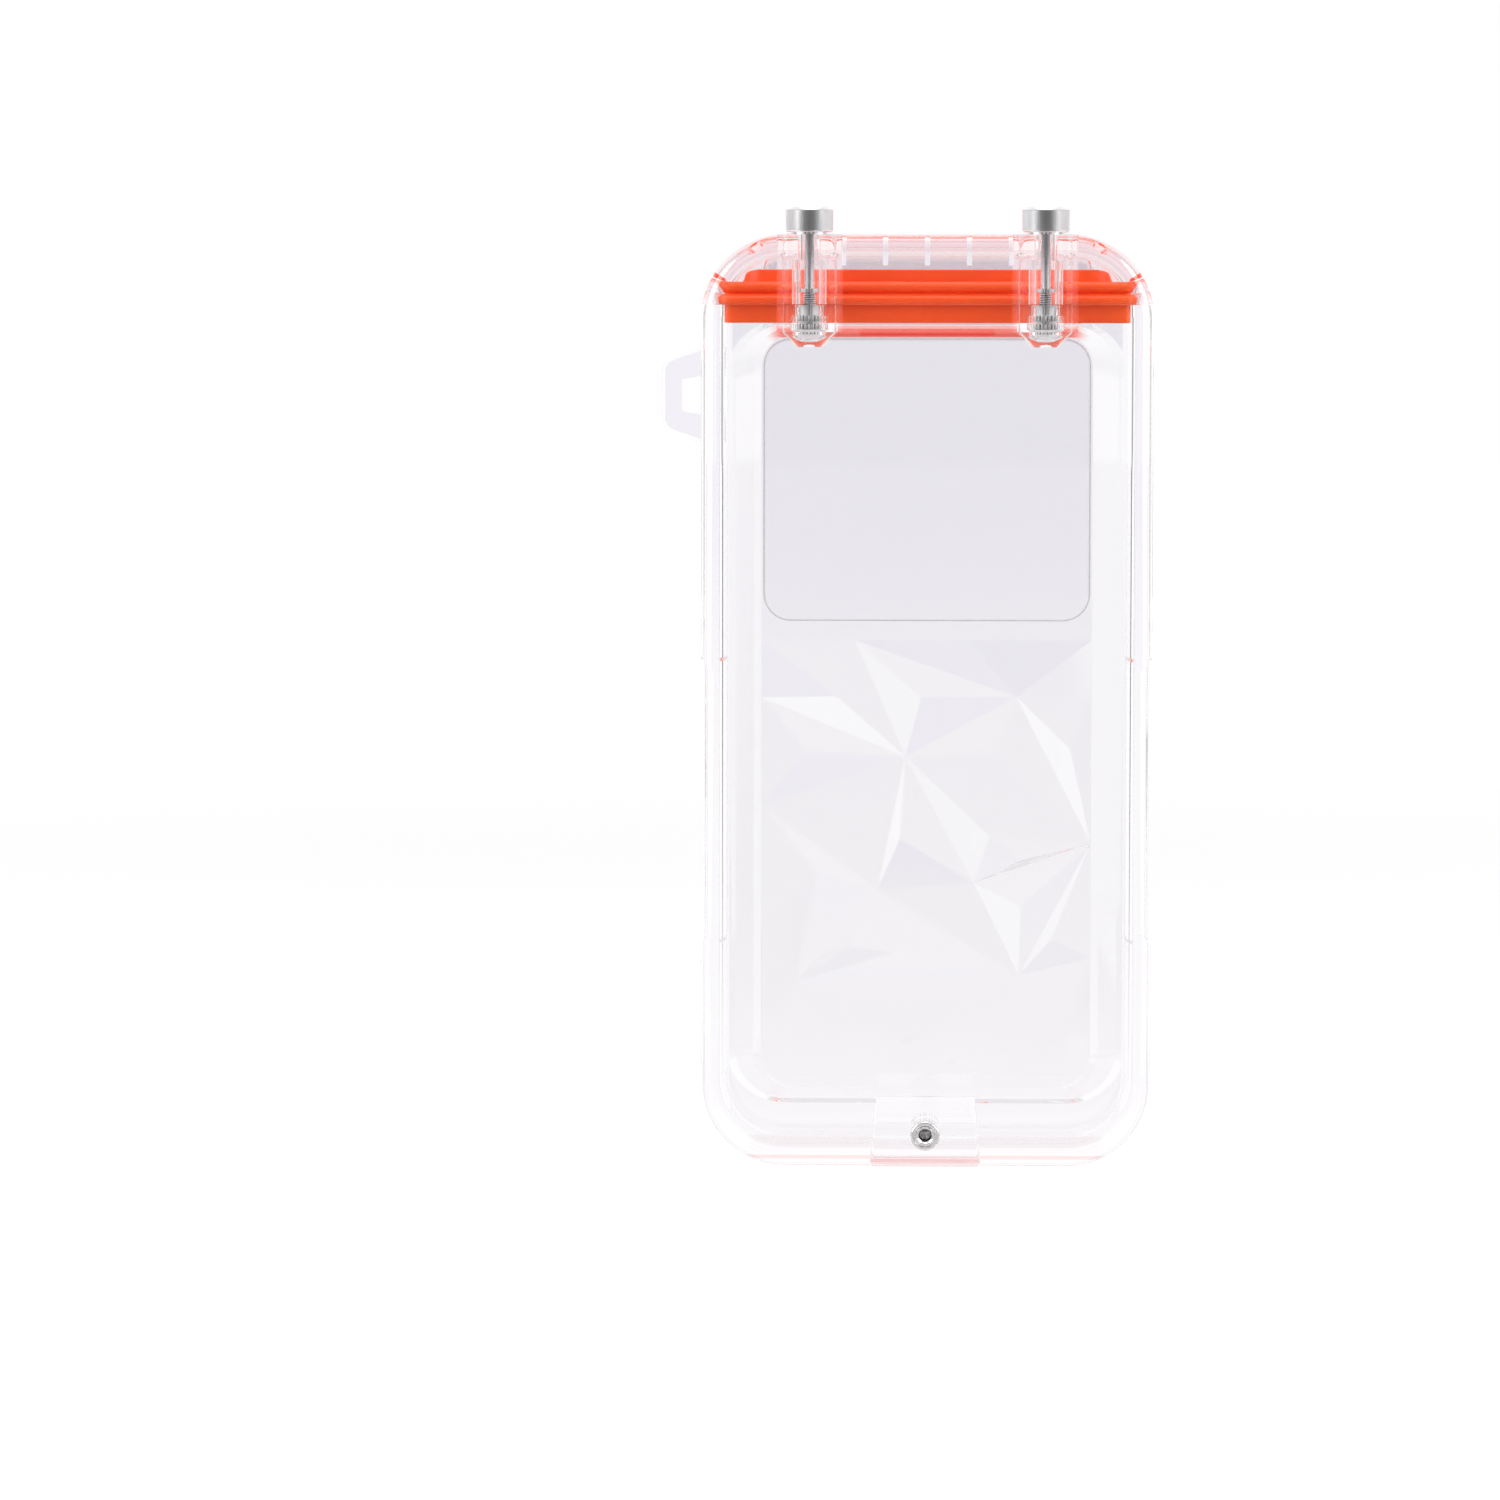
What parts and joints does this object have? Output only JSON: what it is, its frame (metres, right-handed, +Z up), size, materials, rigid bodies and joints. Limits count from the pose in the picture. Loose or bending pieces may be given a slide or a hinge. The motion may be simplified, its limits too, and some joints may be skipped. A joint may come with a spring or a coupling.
{
  "type": "waterproof phone case",
  "caption": "Clear screw-down waterproof phone housing with a faceted back, flat camera window, orange silicone seal, two captive thumb screws and a lanyard loop",
  "frame": {"origin": "middle of the flat base, under the middle of the case's depth", "axes": "X across the case to the viewer's right, Y from the screen side to the camera side, Z up towards the lid"},
  "size_m": [0.1117, 0.037, 0.2181],
  "materials": {
    "clear_plastic": "clear polished polycarbonate",
    "window_plastic": "clear polished pane",
    "orange_silicone": "satin silicone",
    "steel": "polished stainless steel",
    "insert_metal": "nickel-plated, machined"
  },
  "bodies": {
    "shell": {"case_shell": "clear_plastic", "camera_window": "window_plastic", "left_threaded_insert": "insert_metal", "right_threaded_insert": "insert_metal", "dock_insert": "insert_metal"},
    "lid": {"lid": "clear_plastic", "lid_seal": "orange_silicone", "left_washer": "steel", "right_washer": "steel"},
    "left_ring": {"left_retaining_ring": "steel"},
    "left_screw": {"left_thumb_screw": "steel"},
    "right_ring": {"right_retaining_ring": "steel"},
    "right_screw": {"right_thumb_screw": "steel"}
  },
  "joints": [
    {"name": "lid_lift", "type": "slide", "parent": "shell", "child": "lid", "axis": [0, 0, 1], "range_m": [0, 0.05]},
    {"name": "left_screw_rise", "type": "slide", "parent": "lid", "child": "left_ring", "axis": [0, 0, 1], "range_m": [0, 0.006]},
    {"name": "left_screw_turn", "type": "hinge", "parent": "left_ring", "child": "left_screw", "pos_m": [-0.0266, -0.0154, 0.2], "axis": [0, 0, 1], "range_deg": [0, 4320]},
    {"name": "right_screw_rise", "type": "slide", "parent": "lid", "child": "right_ring", "axis": [0, 0, 1], "range_m": [0, 0.006]},
    {"name": "right_screw_turn", "type": "hinge", "parent": "right_ring", "child": "right_screw", "pos_m": [0.0266, -0.0154, 0.2], "axis": [0, 0, 1], "range_deg": [0, 4320]}
  ],
  "couplings": [
    {"joint": "left_screw_turn", "follows": "left_screw_rise", "rad_per_m": 12566},
    {"joint": "right_screw_turn", "follows": "right_screw_rise", "rad_per_m": 12566}
  ]
}
